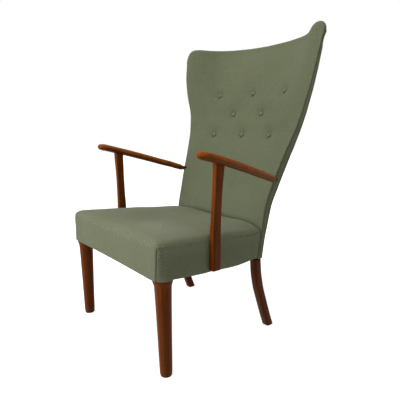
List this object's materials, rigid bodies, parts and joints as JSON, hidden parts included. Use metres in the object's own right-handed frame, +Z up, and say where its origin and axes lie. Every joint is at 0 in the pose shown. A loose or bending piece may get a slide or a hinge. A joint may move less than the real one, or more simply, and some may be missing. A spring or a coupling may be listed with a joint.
{
  "type": "high-backed fireside chair",
  "caption": "High-backed fireside chair with a buttoned wing back, tilted upholstered seat, open sloping wooden arms, turned front legs and curved rear legs.",
  "frame": {"origin": "centre of the footprint box on the floor", "axes": "+Z up, the sitter faces -Y, +X is the sitter's left"},
  "size_m": [0.733, 0.7638, 1.074],
  "materials": {
    "sage_wool": "fine woven wool, matt",
    "button_wool": "covered button, matt",
    "wadding": "loose wadding",
    "jute": "coarse weave",
    "black_cambric": "thin matt cloth",
    "twine": "waxed twine",
    "steel": "plain",
    "stained_beech": "satin lacquer over a red-brown stain",
    "raw_beech": "unfinished"
  },
  "bodies": {
    "root": {"seat_cover": "sage_wool", "seat_padding": "wadding", "seat_hessian": "jute", "seat_webbing_long": "jute", "seat_webbing_cross": "jute", "seat_webbing_tacks": "steel", "seat_front_rail": "raw_beech", "seat_rear_rail": "raw_beech", "seat_side_rail_left": "raw_beech", "seat_side_rail_right": "raw_beech", "seat_corner_blocks": "raw_beech", "corner_block_screws": "steel", "seat_frame_dowels": "raw_beech", "dust_cover": "black_cambric", "dust_cover_tacks": "steel", "front_leg_left": "stained_beech", "front_leg_right": "stained_beech", "rear_leg_left": "stained_beech", "rear_leg_right": "stained_beech", "back_front_cover": "sage_wool", "back_rear_cover": "sage_wool", "back_side_border_left": "sage_wool", "back_side_border_right": "sage_wool", "back_padding": "wadding", "back_hessian": "jute", "back_webbing": "jute", "back_top_rail": "raw_beech", "back_bottom_rail": "raw_beech", "wing_frame_left": "raw_beech", "wing_frame_right": "raw_beech", "wing_frame_screws": "steel", "back_buttons": "button_wool", "button_twines": "twine", "arm_left": "stained_beech", "arm_right": "stained_beech", "arm_post_left": "stained_beech", "arm_post_right": "stained_beech", "arm_post_dowels": "raw_beech", "arm_rear_dowels": "raw_beech", "arm_post_screws": "steel", "arm_post_plugs": "stained_beech"}
  },
  "joints": []
}
